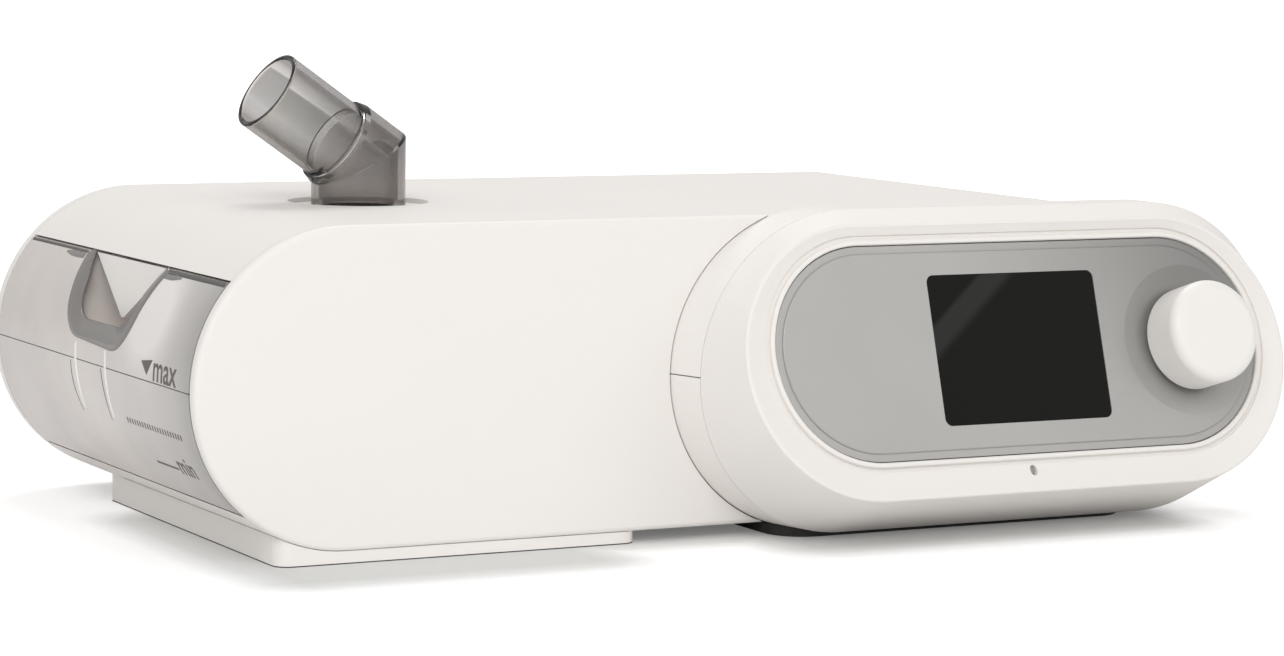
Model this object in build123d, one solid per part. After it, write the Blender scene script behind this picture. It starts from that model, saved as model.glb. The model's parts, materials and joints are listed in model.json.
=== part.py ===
from build123d import *
from math import cos, pi, radians, sin, sqrt
import os

# A bedside breathing machine with a slide-out water tank and a round outlet elbow.
# All sizes are in millimetres. The model is drawn with x = 0 at the left end, y = 0 on the
# front face and z = 0 on the table, and is moved to the middle of its footprint at the end.

# --- Body: a lying stadium, run from front to back --------------------------------------
body_length = 296.0
body_height = 79.4
body_depth = 151.6
table_gap = 3.3            # from the table to the underside of the body
shell_wall = 2.5
fascia_wall = 3.0          # front plate
rear_wall = 4.5            # back plate
rim_round = 1.4            # rounded rims of the front and back plates
seam = 0.3                 # gap between two mouldings
boss_radius = 4.0
screw_radius = 1.5
screw_head_radius = 2.9
screw_head_height = 2.0
screw_length = 22.0
screw_sink = 1.0           # depth of the counterbore under a screw head
screw_front = 14.0         # from the front face to the front screw
screw_back = 13.6          # from the back face to the rear screws
screw_corner_back = 19.6   # and to the one by the right end
screw_end = 32.0           # from the right end to that screw
screw_clear = 11.4         # from the humidifier bay to the left screws

# --- Collar and control pod on the right of the front -----------------------------------
collar_proud = 1.9         # how far the collar stands out of the body all round
collar_left = 128.2
collar_depth = 10.4
collar_draft = 2.7         # how much the collar's left end moves right towards the front
collar_root = 8.0          # how far the collar reaches back into the body
collar_wall = 3.0
collar_overhang = 11.0     # how far the collar reaches past the body's right end
pod_tilt = 17.1            # the face leans back by this many degrees
ridge_inset = 4.55         # from the collar's left end to the ridge's
ridge_width = 163.6
ridge_height = 71.0
ridge_reach = 31.2         # from the front face forward to the middle of the ridge
ridge_middle = 44.5        # height of the ridge's middle above the underside of the body
ridge_round = 0.6
ridge_band = 0.9           # from the ridge's edge in to the bevel that dips to the groove
bevel_depth = 1.7          # depth of the bevel's inner edge below the ridge
groove_width = 1.3         # between the bevel and the bead
groove_depth = 2.3
bead_width = 1.3           # raised line round the panel
bead_drop = 0.9            # its top is this far below the ridge
bead_round = 0.5
bezel_wall = 2.6
bezel_lip = 4.0
lip_wall = 1.5

panel_width = 146.0
panel_height = 55.0
panel_rise = 2.3           # the panel sits above the ridge's middle
panel_shift = 0.7          # and right of it
panel_sink = 1.2           # below the ridge
panel_wall = 2.4
panel_ledge = 3.0
panel_step_width = 1.9     # lowered border round the panel's field
panel_step = 0.5
panel_step_round = 0.4
display_width = 51.0
display_height = 39.0
display_shift = -1.2       # the display sits a little left of the panel's middle
display_corner = 2.0
window_wall = 1.2
lcd_border = 4.0
lcd_thickness = 4.0

# --- Control knob and its encoder -------------------------------------------------------
knob_diameter = 27.1
knob_height = 12.6
knob_end = 21.4            # from the panel's right end to the knob's axis
knob_base = -0.2           # base of the knob, measured from the ridge plane
knob_round = 3.0
knob_wall = 1.8
knob_travel = 1.0
dish_radius = 20.0
dish_depth = 1.8
dish_wall = 2.2
encoder_size = 13.0
encoder_height = 7.4
encoder_bush_radius = 4.5
encoder_bush_length = 2.0
shaft_radius = 3.0
running_gap = 0.06         # radial clearance of a shaft that turns or slides
plunger_radius = 4.4
plunger_height = 1.0
board_depth = 16.0         # from the ridge plane back to the control board's face
board_wall = 1.6
board_end = 4.7            # from each end of the panel to the control board
board_edge = 9.3           # from the panel's long edges to the control board
board_shift = 2.0          # the control board sits right of the panel's middle
post_radius = 2.6
post_end = 11.7            # from the panel's left end to the left posts
post_right_end = 7.7       # and from its right end to the right one
post_edge = 5.0            # from the control board's long edges to the posts
sensor_width = 2.0
sensor_height = 2.8
sensor_depth = 2.0
sensor_drop = 32.0         # below the panel's middle
sensor_shift = -2.3        # and left of it

# --- Water tank in the left end ---------------------------------------------------------
window_top_angle = 47.5    # edges of the tank's window, measured round from the top
window_low_angle = 140.0
tank_right = 92.0
tank_wall = 2.0
tank_gap = 0.6             # between the tank and the bay around it
tank_travel = 120.0
tank_flange = 2.4          # inward flange at the parting line, beyond the wall
tank_flange_height = 3.0
gasket_width = 1.4
gasket_sink = 0.9
pocket_middle = 72.0       # y of the finger pocket's middle
pocket_top_width = 57.0
pocket_low_width = 41.0
pocket_tall = 20.6         # from the upper edge of the window down to the pocket's floor
pocket_corner = 14.0
pocket_depth = 17.0
tab_top_width = 51.6
tab_height = 15.2
tab_tip_radius = 2.5
tab_lean = 10.0            # the tab's tip stands out by this many degrees
tab_wall = 1.8
tab_inset = 0.3            # behind the upper edge of the window
tab_swing = 8.0
pin_radius = 1.0
knuckle_radius = 1.9
knuckle_length = 9.0
rib_height = 18.0
rib_width = 1.6
rib_depth = 2.0
base_plate_radius = 31.0
base_plate_wall = 1.2
base_plate_middle_x = 57.5

# --- Humidifier bay, heater and pedestal ------------------------------------------------
bay_wall = 2.0
heater_radius = 29.5
heater_wall = 2.6
heater_flange = 3.0
heater_flange_wall = 1.2
heater_edge = 0.5
insulator_wall = 2.0
insulator_radius = 26.5
base_left = 21.9
base_right = 120.0
base_front = 1.0
base_back = 120.8
base_lift = 0.3            # from the table to the pedestal's underside
base_corner = 4.0
foot_radius = 6.0
foot_sink = 1.2
pod_foot_left = 157.8
pod_foot_right = 265.9
pod_foot_front = -7.2
pod_foot_back = 26.8
pod_foot_corner = 10.0
pod_foot_sink = 1.4

# --- Air outlet -------------------------------------------------------------------------
outlet_x = 74.2
outlet_y = 74.2
recess_radius = 18.5
recess_depth = 1.2
elbow_outer_radius = 12.4
elbow_inner_radius = 10.5
elbow_corner_trim = 0.35   # taken off the bend's outer corner
tube_outer_radius = 11.0   # 22 mm breathing-hose connector
tube_inner_radius = 9.5
spigot_radius = 11.5
spigot_clear = 1.3         # from the outlet's seal up to the spigot
elbow_rise = 11.2          # from the top of the body to the bend's middle
elbow_shoulder = 9.1       # from the bend's middle to the step down to the tube
shoulder_radius = 11.8     # the bend narrows to this at the step
shoulder_taper = 2.0
elbow_reach = 32.5         # from the bend's middle to the mouth
elbow_angle = 56.0         # the tube leans this far from upright
elbow_swing = 4.0          # the tube points this far towards the front at rest
mouth_round = 0.5
o_ring_radius = 0.65
seal_inner_radius = 9.0
seal_wall = 3.0
seal_flange = 3.0
seal_flange_wall = 1.4

# --- Blower -----------------------------------------------------------------------------
blower_x = 152.0
blower_back = 63.6         # from the back face to the blower's axis
volute_height = 26.0
volute_start = 27.0
volute_growth = 11.0
volute_wall = 1.8
blower_eye = 13.0
impeller_radius = 24.0
impeller_height = 12.0
impeller_plate = 1.4
hub_radius = 5.0
blade_count = 9
blade_wall = 0.9
motor_radius = 17.0
motor_height = 24.0
motor_edge = 1.5
motor_shaft_radius = 1.5
mount_radius = 4.0
mount_pin_radius = 1.8
mount_height = 6.0
mount_ear = 3.0            # thickness of the ears on the scroll housing
mount_cap = 1.5
bellows_radius = 11.0
bellows_wall = 1.5
bellows_rib = 1.5
bellows_pitch = 3.9
duct_clear = 6.0           # from the scroll's widest reach to the end of its duct
port_radius = 9.0
port_length = 30.0         # of the tank's air inlet tube
port_rise = 12.3           # of the tank's air inlet above the parting line

# --- Back: filter and power inlet -------------------------------------------------------
filter_x = 226.0
filter_height = 39.7       # of the filter's middle above the underside of the body
filter_width = 52.0
filter_tall = 34.0
filter_depth = 14.0
filter_foam = 7.0
filter_corner = 4.0
filter_ledge = 4.0         # the tray's floor that the foam rests on
grille_wall = 2.0
grille_bars = 7
grille_slot = 2.2
grille_edge = 4.0          # from the slots' ends to the cover's edge
cover_gap = 0.4
cover_depth = 4.8
cover_sink = 0.2           # the cover sits this far below the back plate's face
filter_travel = 14.0
tray_wall = 1.6
socket_x = 176.0
socket_height = 24.0
socket_bore = 4.9
socket_bore_depth = 8.0
socket_radius = 7.5
socket_length = 15.0
socket_flange = 2.0
socket_flange_wall = 1.2
contact_radius = 0.6
contact_pitch = 2.6
contact_depth = 3.0

# --- Main circuit board -----------------------------------------------------------------
main_clear = 6.0           # from the blower's mount to the board
main_end = 26.0            # from the body's right end to the board
main_front = 20.0          # from the front face
main_rear = 29.6           # from the back face
main_lift = 8.0            # above the inside of the floor
main_hole_inset = 5.0
main_hole_radius = 1.3
main_screw_radius = 1.1
main_screw_head = 2.4
capacitor_radius = 8.0
capacitor_height = 20.0
capacitor_end = 22.0       # from the board's right edge to the capacitors
chip_size = 18.0
chip_height = 2.0
coil_width = 14.0
coil_length = 20.0
coil_height = 12.0
plug_width = 4.0
plug_length = 16.0
plug_height = 6.0

# --- Worked-out values ------------------------------------------------------------------
body_radius = body_height / 2
axis_z = table_gap + body_radius
top_z = table_gap + body_height
floor_z = table_gap + shell_wall
shell_front = fascia_wall + seam
shell_back = body_depth - rear_wall - seam
collar_right = body_length + collar_overhang
window_top = axis_z + body_radius * cos(radians(window_top_angle))
window_low = axis_z + body_radius * cos(radians(window_low_angle))
window_edge_x = body_radius * (1 - sin(radians(window_top_angle)))
tank_top = window_top - tank_gap
tank_low = window_low + tank_gap
tank_front = shell_front + tank_gap
tank_back = shell_back - tank_gap
part_line = axis_z
past = body_length         # how far a cut reaches past the model
bay_right = tank_right + tank_gap
bay_end = bay_right + bay_wall
port_z = part_line + port_rise
blower_y = body_depth - blower_back
blower_z = port_z - volute_height / 2
port_y = blower_y + volute_start + volute_growth / 2
recess_z = top_z - recess_depth
seal_shelf = window_top + bay_wall
spigot_low = seal_shelf + seal_flange_wall + spigot_clear
groove_z = (recess_z + spigot_low) / 2
bend_z = top_z + elbow_rise
face_lean = radians(pod_tilt)
face_y = -ridge_reach + panel_rise * sin(face_lean)
face_z = table_gap + ridge_middle + panel_rise * cos(face_lean)
face_x = collar_left + ridge_inset + ridge_width / 2 + panel_shift
knob_shift = panel_width / 2 - knob_end
board_width = panel_width - 2 * board_end
board_height = panel_height - 2 * board_edge
mount_reach = volute_start + volute_growth + 2.0
main_left = blower_x + mount_reach + mount_radius + 1.0 + main_clear
main_right = body_length - main_end
main_back = body_depth - main_rear
screw_spots = [
    (bay_end + screw_clear, screw_front),
    (bay_end + screw_clear, body_depth - screw_back),
    (socket_x + socket_radius + socket_flange + boss_radius + 0.5, body_depth - screw_back),
    (body_length - screw_end, body_depth - screw_corner_back),
]

CENTRE_LOW = (Align.CENTER, Align.CENTER, Align.MIN)
CORNER = (Align.MIN, Align.MIN, Align.MIN)


# --- Drawing helpers --------------------------------------------------------------------
def block(x0, x1, y0, y1, z0, z1):
    """A box between two corners."""
    return Pos(x0, y0, z0) * Box(x1 - x0, y1 - y0, z1 - z0, align=CORNER)


def upright(x, y, z0, z1, radius):
    """An upright cylinder from z0 to z1."""
    return Pos(x, y, z0) * Cylinder(radius, z1 - z0, align=CENTRE_LOW)


def group(pieces):
    """Separate solids that share one node."""
    return pieces[0] + pieces[1:]


def rod(start, direction, radius, length):
    """A round bar that starts at a point and runs along a direction."""
    return extrude(Plane(origin=start, z_dir=direction) * Circle(radius), amount=length)


def front_sheet(x, y, z):
    """A drawing plane that faces forwards: its X is right and its Y is up."""
    return Plane(origin=(x, y, z), x_dir=(1, 0, 0), z_dir=(0, -1, 0))


def left_sheet(x, y, z):
    """A drawing plane that faces left: its X is forwards and its Y is up."""
    return Plane(origin=(x, y, z), x_dir=(0, -1, 0), z_dir=(-1, 0, 0))


def face_sheet(depth=0.0):
    """The pod's tilted face, with its middle on the panel's middle, at a height over the ridge."""
    plane = Plane(
        origin=(face_x, face_y, face_z),
        x_dir=(1, 0, 0),
        z_dir=(0, -cos(face_lean), sin(face_lean)),
    )
    return plane.offset(depth)


def on_face(profile, depth, height, x=0.0, y=0.0):
    """A profile at (x, y) on the tilted face, run outwards from a depth over a height."""
    return extrude(face_sheet(depth) * Pos(x, y) * profile, amount=height)


def body_block(inset, y_front, y_back):
    """The body's stadium, drawn in by an inset, between two depths."""
    outline = SlotOverall(body_length - 2 * inset, body_height - 2 * inset)
    sheet = front_sheet(body_length / 2, y_back, axis_z)
    return extrude(sheet * outline, amount=y_back - y_front)


def collar_outline(y, shift, inset):
    """The collar's stadium at a depth, drawn in by an inset, its left end moved by a shift."""
    left = collar_left + shift
    outline = SlotOverall(collar_right - left - 2 * inset, body_height + 2 * collar_proud - 2 * inset)
    return front_sheet((left + collar_right) / 2, y, axis_z) * outline


def collar_block(inset, y_back=collar_root):
    """The collar as a solid, drawn in by an inset, from its front back to y_back."""
    rear = collar_outline(0, 0, inset)
    front = collar_outline(-collar_depth, collar_draft, inset)
    root = extrude(collar_outline(y_back, 0, inset), amount=y_back)
    return loft([rear, front], ruled=True) + root


def ridge_outline(inset, depth):
    """The stadium of the pod's ridge, drawn in by an inset, at a depth over the ridge."""
    outline = SlotOverall(ridge_width - 2 * inset, ridge_height - 2 * inset)
    return face_sheet(depth) * Pos(-panel_shift, -panel_rise) * outline


# --- Housing ----------------------------------------------------------------------------
def housing_ring():
    """The shell and the collar as one ring, before the seam parts it."""
    shell = body_block(0, shell_front, shell_back)
    hollow = body_block(shell_wall, shell_front - 1, shell_back + 1)
    front_part = collar_block(0) - block(-past, past + collar_right, 0, past, -past, past)
    root = collar_block(0) & body_block(0, 0, collar_root)
    back_wall = block(-past, past + collar_right, -collar_wall, past, -past, past)
    back_wall -= body_block(shell_wall, -collar_wall - 1, body_depth)
    ring = shell + front_part + root
    return ring - hollow - (collar_block(collar_wall, collar_root + 1) - back_wall)


def window_cut():
    """What the tank's window takes out of the left end."""
    return block(-1, body_radius, -1, body_depth + 1, window_low, window_top)


def upper_housing():
    """Upper half of the shell, with the outlet's recess and boss and four screw bosses."""
    half = block(-past, past + collar_right, -past, body_depth, axis_z + seam / 2, past)
    shell = (housing_ring() & half) - window_cut()
    boss_low = spigot_low - seam
    shell += upright(outlet_x, outlet_y, top_z - 2 * shell_wall, top_z - shell_wall / 2, recess_radius + 2)
    shell += upright(outlet_x, outlet_y, boss_low, top_z - shell_wall / 2, spigot_radius + shell_wall)
    shell -= upright(outlet_x, outlet_y, recess_z, top_z + 1, recess_radius)
    shell -= upright(outlet_x, outlet_y, boss_low - 1, top_z, spigot_radius + running_gap)
    for x, y in screw_spots:
        shell += upright(x, y, axis_z + seam / 2, top_z - shell_wall / 2, boss_radius)
        shell -= upright(x, y, axis_z, axis_z + screw_length, screw_radius)
    return shell


def lower_housing():
    """Lower half of the shell, with screw posts, blower posts, board posts and heater ring."""
    half = block(-past, past + collar_right, -past, body_depth, -past, axis_z - seam / 2)
    shell = (housing_ring() & half) - window_cut()
    for x, y in screw_spots:
        shell += upright(x, y, table_gap + shell_wall / 2, axis_z - seam / 2, boss_radius)
        shell -= upright(x, y, table_gap - 1, axis_z + 1, screw_radius + running_gap)
        head_top = table_gap + screw_sink + screw_head_height
        shell -= upright(x, y, table_gap - 1, head_top, screw_head_radius + 0.2)
    for x, y in mount_spots():
        shell += upright(x, y, table_gap + shell_wall / 2, blower_z - mount_height - seam, boss_radius)
    for x, y in board_spots():
        shell += upright(x, y, table_gap + shell_wall / 2, floor_z + main_lift, boss_radius - 0.6)
        shell -= upright(x, y, floor_z, floor_z + main_lift + 1, main_screw_radius + 0.1)
    ring_top = heater_top() - heater_wall - heater_flange_wall - insulator_wall
    ring_x = base_plate_middle_x
    ring = upright(ring_x, tank_middle_y(), table_gap + shell_wall / 2, ring_top, insulator_radius)
    shell += ring - upright(ring_x, tank_middle_y(), 0, ring_top + 1, insulator_radius - 2 * shell_wall)
    shell -= pod_foot_block(0.1)
    for x, y in body_feet_spots():
        shell += upright(x, y, table_gap + shell_wall / 2, floor_z + foot_sink, foot_radius + 2)
        shell -= upright(x, y, 0, table_gap + foot_sink, foot_radius + 0.1)
    return shell


def front_fascia():
    """White front plate, cut away round the collar, with locating lips behind it."""
    plate = body_block(0, 0, fascia_wall)
    plate = fillet(plate.edges().filter_by_position(Axis.Y, -0.01, 0.01), rim_round)
    lip = body_block(shell_wall + seam, fascia_wall, fascia_wall + bezel_lip)
    lip -= body_block(shell_wall + seam + lip_wall, 0, fascia_wall + bezel_lip + 1)
    lip &= block(bay_right + 3 * bay_wall, collar_left + collar_proud, 0, 20, 0, top_z)
    lip -= [upright(x, y, 0, top_z, boss_radius + seam) for x, y in screw_spots]
    return plate + lip - collar_block(-seam, fascia_wall + bezel_lip + 1)


def rear_cover():
    """Back plate with the filter tray, the power inlet's hole and a locating lip."""
    plate = body_block(0, body_depth - rear_wall, body_depth)
    back_edges = plate.edges().filter_by_position(Axis.Y, body_depth - 0.01, body_depth + 0.01)
    plate = fillet(back_edges, rim_round)
    lip = body_block(shell_wall + seam, body_depth - rear_wall - bezel_lip, body_depth - rear_wall)
    lip -= body_block(shell_wall + seam + lip_wall, 0, body_depth)
    lip &= block(bay_right + 3 * bay_wall, body_length, 0, body_depth, 0, top_z)
    lip -= [upright(x, y, 0, top_z, boss_radius + seam) for x, y in screw_spots]
    tray_front = body_depth - filter_depth - tray_wall
    tray = rear_box(filter_width + 2 * tray_wall, filter_tall + 2 * tray_wall, tray_front, body_depth - 1)
    cavity = rear_box(filter_width, filter_tall, body_depth - filter_depth, body_depth + 1)
    ledge = 2 * filter_ledge
    throat = rear_box(filter_width - ledge, filter_tall - ledge, tray_front - 1, body_depth)
    start = (socket_x, body_depth + 1, table_gap + socket_height)
    socket_hole = rod(start, (0, -1, 0), socket_radius + seam, 2 * rear_wall)
    return plate + lip + tray - cavity - throat - socket_hole


def rear_box(width, tall, y_front, y_back):
    """A rounded box centred on the filter, between two depths."""
    sheet = front_sheet(filter_x, y_back, table_gap + filter_height)
    return extrude(sheet * RectangleRounded(width, tall, filter_corner), amount=y_back - y_front)


def housing_screws():
    """Four screws that hold the two halves of the housing, driven from below."""
    screws = []
    for x, y in screw_spots:
        low = table_gap + screw_sink
        head = upright(x, y, low, low + screw_head_height, screw_head_radius)
        shank = upright(x, y, low, axis_z + screw_length - 8, screw_radius - 0.05)
        slot = upright(x, y, low - 1, low + screw_head_height / 2, 1.0)
        screws.append(head + shank - slot)
    return group(screws)


# --- Pedestal and feet ------------------------------------------------------------------
def humidifier_base():
    """Pedestal under the humidifier, shaped to the underside of the body."""
    slab = block(base_left, base_right, base_front, base_back, base_lift, axis_z)
    slab = fillet(slab.edges().filter_by(Axis.Z), base_corner)
    slab -= body_block(-0.1, -5, body_depth)
    slab -= block(body_radius, base_right + 1, -5, body_depth, table_gap - 0.1, axis_z + 1)
    slab &= block(base_left, base_right, base_front, base_back, 0, body_radius / 2)
    slab -= [upright(x, y, table_gap - 0.6, axis_z, screw_head_radius + 0.2) for x, y in screw_spots]
    return slab - [upright(x, y, 0, base_lift + foot_sink, foot_radius + 0.1) for x, y in base_feet_spots()]


def base_feet_spots():
    """Places of the feet under the pedestal."""
    inset = foot_radius + base_corner
    xs = (base_left + inset, base_right - inset)
    return [(x, y) for x in xs for y in (base_front + inset, base_back - inset)]


def body_feet_spots():
    """Places of the feet under the right of the body."""
    back = body_depth - 2 * foot_radius - rear_wall
    return [(body_length - body_radius - foot_radius, back), (blower_x, back)]


def rubber_feet():
    """Round rubber feet under the pedestal and the right rear of the body."""
    feet = [upright(x, y, 0, base_lift + foot_sink, foot_radius) for x, y in base_feet_spots()]
    feet += [upright(x, y, 0, table_gap + foot_sink, foot_radius) for x, y in body_feet_spots()]
    return group(feet)


def pod_foot_block(gap):
    """The dark strip foot under the pod, grown by a gap."""
    height = table_gap - collar_proud + pod_foot_sink + gap
    strip = block(
        pod_foot_left - gap, pod_foot_right + gap, pod_foot_front - gap, pod_foot_back + gap, -gap, height
    )
    return fillet(strip.edges().filter_by(Axis.Z), pod_foot_corner)


def pod_foot():
    """Dark strip foot under the pod and the front of the body."""
    return pod_foot_block(0.0) - bezel_block(-seam, 0)


# --- Humidifier bay and heater ----------------------------------------------------------
def tank_middle_y():
    """Depth of the tank's middle."""
    return (tank_front + tank_back) / 2


def heater_top():
    """Height of the heater's face, just under the tank's metal base."""
    return tank_low - 0.3


def humidifier_bay():
    """Liner round the tank: ceiling, right wall and floor, with its three openings."""
    low, high = window_low - bay_wall, window_top + bay_wall
    liner = block(0, bay_end, shell_front + seam, shell_back - seam, low, high)
    liner -= block(-1, bay_right, 0, body_depth, window_low, window_top)
    liner &= body_block(shell_wall + seam, 0, body_depth)
    ring = upright(outlet_x, outlet_y, 0, 2 * top_z, seal_inner_radius + seal_wall + 0.1)
    liner -= ring & block(0, body_length, 0, body_depth, axis_z, top_z)
    liner -= upright(base_plate_middle_x, tank_middle_y(), 0, axis_z, heater_radius + seam)
    port = rod((bay_right - 1, port_y, port_z), (1, 0, 0), port_radius + seal_wall + 0.1, 2 * bay_wall)
    return liner - port


def heater_plate():
    """Round aluminium heater under the tank, with a flange below the bay's floor."""
    top = heater_top()
    x, y = base_plate_middle_x, tank_middle_y()
    low = window_low - bay_wall - seam
    plate = upright(x, y, low - heater_flange_wall, top, heater_radius)
    flange = upright(x, y, low - heater_flange_wall, low, heater_radius + heater_flange)
    return chamfer(plate.edges().filter_by_position(Axis.Z, top - 0.01, top + 0.01), heater_edge) + flange


def heater_insulator():
    """Heat-proof ring that the heater stands on."""
    x, y = base_plate_middle_x, tank_middle_y()
    high = window_low - bay_wall - seam - heater_flange_wall
    low = heater_top() - heater_wall - heater_flange_wall - insulator_wall
    ring = upright(x, y, low, high, insulator_radius)
    return ring - upright(x, y, low - 1, high + 1, insulator_radius - 3 * shell_wall)


# --- Water tank -------------------------------------------------------------------------
def tank_block(inset, z_low, z_high):
    """The tank's outline, drawn in by an inset, between two heights."""
    front, back = tank_front + inset, tank_back - inset
    return body_block(inset, front, back) & block(-1, tank_right - inset, front, back, z_low, z_high)


def gasket_ring(z_low, z_high, gap):
    """A ring in the flange at the parting line, between two heights."""
    middle = tank_wall + tank_flange / 2
    outer = tank_block(middle - gasket_width / 2 - gap, z_low, z_high)
    return outer - tank_block(middle + gasket_width / 2 + gap, z_low - 1, z_high + 1)


def water_tub():
    """Clear lower half of the tank, with a flange, grip ribs and a seat for its metal base."""
    top = part_line - seam / 2
    tub = tank_block(0, tank_low, top)
    tub -= tank_block(tank_wall, tank_low + tank_wall, top - tank_flange_height)
    tub -= tank_block(tank_wall + tank_flange, top - tank_flange_height - 1, top + 1)
    tub -= gasket_ring(top - gasket_sink, top + 1, 0.05)
    tub -= upright(base_plate_middle_x, tank_middle_y(), 0, tank_low + base_plate_wall, base_plate_radius)
    for y in rib_places():
        rib_top = top - tank_flange_height
        rib = block(-1, body_radius, y, y + rib_width, rib_top - rib_height, rib_top)
        band = tank_block(tank_wall / 2, tank_low, top) - tank_block(tank_wall + rib_depth, 0, top + 1)
        tub += rib & band
    return tub


def rib_places():
    """Depths of the two upright ribs inside the tub's left wall."""
    return (pocket_middle - 5.0, pocket_middle + 17.5)


def tank_base_plate():
    """Metal disc in the tub's floor that takes up the heat."""
    x, y = base_plate_middle_x, tank_middle_y()
    return upright(x, y, tank_low, tank_low + base_plate_wall, base_plate_radius - 0.05)


def tank_gasket():
    """Rubber ring between the tub and the lid."""
    half = gasket_sink + seam / 2 - 0.05
    return gasket_ring(part_line - half, part_line + half, 0)


def pocket_outline(grow):
    """Outline of the finger pocket, seen from the left, grown by a wall."""
    low = window_top - pocket_tall - grow
    flare = (pocket_top_width - pocket_low_width) / 2 / (window_top - low)
    half_low = pocket_low_width / 2 + grow
    tall = top_z - low
    half_high = half_low + flare * tall
    face = Polygon((-half_low, 0), (half_low, 0), (half_high, tall), (-half_high, tall), align=None)
    corners = face.vertices().group_by(Axis.Y)[0]
    return left_sheet(0, pocket_middle, low) * fillet(corners, pocket_corner + grow)


def pocket_block(grow, depth):
    """The finger pocket as a solid that starts outside the tank."""
    return extrude(pocket_outline(grow), amount=-depth) + extrude(pocket_outline(grow), amount=5)


def tank_lid():
    """Clear upper half of the tank, with the finger pocket and both air ports."""
    low = part_line + seam / 2
    lid = tank_block(0, low, tank_top)
    lid -= tank_block(tank_wall, low + tank_flange_height, tank_top - tank_wall)
    lid -= tank_block(tank_wall + tank_flange, low - 1, low + tank_flange_height + 1)
    lid -= gasket_ring(low - 1, low + gasket_sink, 0.05)
    lid += pocket_block(tank_wall, pocket_depth + tank_wall) & tank_block(0, low + tank_wall, tank_top)
    lid -= pocket_block(0, pocket_depth)
    air_tube = rod((tank_right - 1, port_y, port_z), (-1, 0, 0), port_radius + tank_wall, port_length)
    lid += air_tube - block(0, tank_right, 0, body_depth, 0, low + tank_flange_height)
    lid -= rod((tank_right + 1, port_y, port_z), (-1, 0, 0), port_radius, port_length + 2)
    lid -= upright(outlet_x, outlet_y, tank_top - tank_wall - 1, tank_top + 1, seal_inner_radius)
    return lid - tab_pin_rod(0.03, 2 * tank_wall)


def tab_pivot():
    """The pin's place in side view."""
    x = window_edge_x + tab_inset + tab_wall + knuckle_radius - 0.4
    return x, tank_top - knuckle_radius - 0.4


def tab_pin_rod(gap, extra):
    """The latch pin's bar, grown by a gap, running into both walls of the pocket."""
    x, z = tab_pivot()
    length = pocket_top_width + extra
    return rod((x, pocket_middle - length / 2, z), (0, 1, 0), pin_radius + gap, length)


def latch_pin():
    """Steel pin that the release tab swings on."""
    return tab_pin_rod(0.0, 2 * tank_wall - 1.0)


def latch_tab():
    """White release tab: a V-shaped tongue with two knuckles behind its upper edge."""
    x, z = tab_pivot()
    face_x_place = window_edge_x + tab_inset
    half = tab_top_width / 2
    tongue = Polygon((-half, 0), (0, -tab_height), (half, 0), align=None)
    tongue = fillet(tongue.vertices().sort_by(Axis.Y)[0], tab_tip_radius)
    lean = radians(tab_lean)
    top = (face_x_place, pocket_middle, tank_top - 0.2)
    sheet = Plane(origin=top, x_dir=(0, -1, 0), z_dir=(-cos(lean), 0, sin(lean)))
    plate = extrude(sheet * tongue, amount=-tab_wall)
    for side in (-1, 1):
        y = pocket_middle + side * (half - knuckle_length) - knuckle_length / 2
        knuckle = rod((x, y, z), (0, 1, 0), knuckle_radius, knuckle_length)
        low, high = z - knuckle_radius, z + knuckle_radius
        web = block(face_x_place + tab_wall / 2, x, y, y + knuckle_length, low, high)
        plate += knuckle + web
    return plate - tab_pin_rod(running_gap, 0)


# --- Seals and outlet elbow -------------------------------------------------------------
def outlet_seal():
    """Soft ring between the tank's lid and the outlet boss."""
    low = tank_top + 0.3
    high = seal_shelf + seal_flange_wall
    ring = upright(outlet_x, outlet_y, low, high, seal_inner_radius + seal_wall)
    flange = upright(outlet_x, outlet_y, seal_shelf, high, spigot_radius + seal_flange)
    return ring + flange - upright(outlet_x, outlet_y, low - 1, top_z, seal_inner_radius)


def inlet_seal():
    """Ribbed soft sleeve from the blower to the tank's air inlet."""
    start = tank_right + 0.3
    end = blower_duct_end() - 0.1
    sleeve = rod((start, port_y, port_z), (1, 0, 0), port_radius + seal_wall, end - start)
    for step in range(3):
        x = bay_end + 0.1 + step * bellows_pitch
        sleeve += rod((x, port_y, port_z), (1, 0, 0), port_radius + seal_wall + bellows_rib, bellows_rib)
    return sleeve - rod((start - 1, port_y, port_z), (1, 0, 0), port_radius, end - start + 2)


def blower_duct_end():
    """Where the blower's outlet duct ends."""
    return blower_x - volute_start - volute_growth - duct_clear


def elbow_direction():
    """Unit direction of the elbow's tube."""
    lean, swing = radians(elbow_angle), radians(elbow_swing)
    return Vector(-sin(lean) * cos(swing), -sin(lean) * sin(swing), cos(lean))


def mitred(radius_low, radius_high, z_low, reach):
    """Two round bars that meet in a mitre at the bend: one upright and one along the tube."""
    bend = Vector(outlet_x, outlet_y, bend_z)
    along = elbow_direction()
    mitre = Plane(origin=bend, z_dir=along + Vector(0, 0, 1))
    far = 4 * elbow_outer_radius
    low = upright(outlet_x, outlet_y, z_low, bend_z + far, radius_low)
    high = rod(bend - along * far, along, radius_high, far + reach)
    low -= extrude(mitre * Rectangle(4 * far, 4 * far), amount=2 * far)
    high -= extrude(mitre * Rectangle(4 * far, 4 * far), amount=-2 * far)
    return low + high


def corner_trim():
    """Everything of the elbow but the sharp outer corner of its bend."""
    bend = Vector(outlet_x, outlet_y, bend_z)
    corner = elbow_outer_radius / cos(radians(elbow_angle / 2))
    ball = Pos(outlet_x, outlet_y, bend_z) * Sphere(corner - elbow_corner_trim)
    low = upright(outlet_x, outlet_y, spigot_low - 1, bend_z, elbow_outer_radius + 1)
    return ball + low + rod(bend, elbow_direction(), elbow_outer_radius + 1, elbow_reach + 1)


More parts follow.
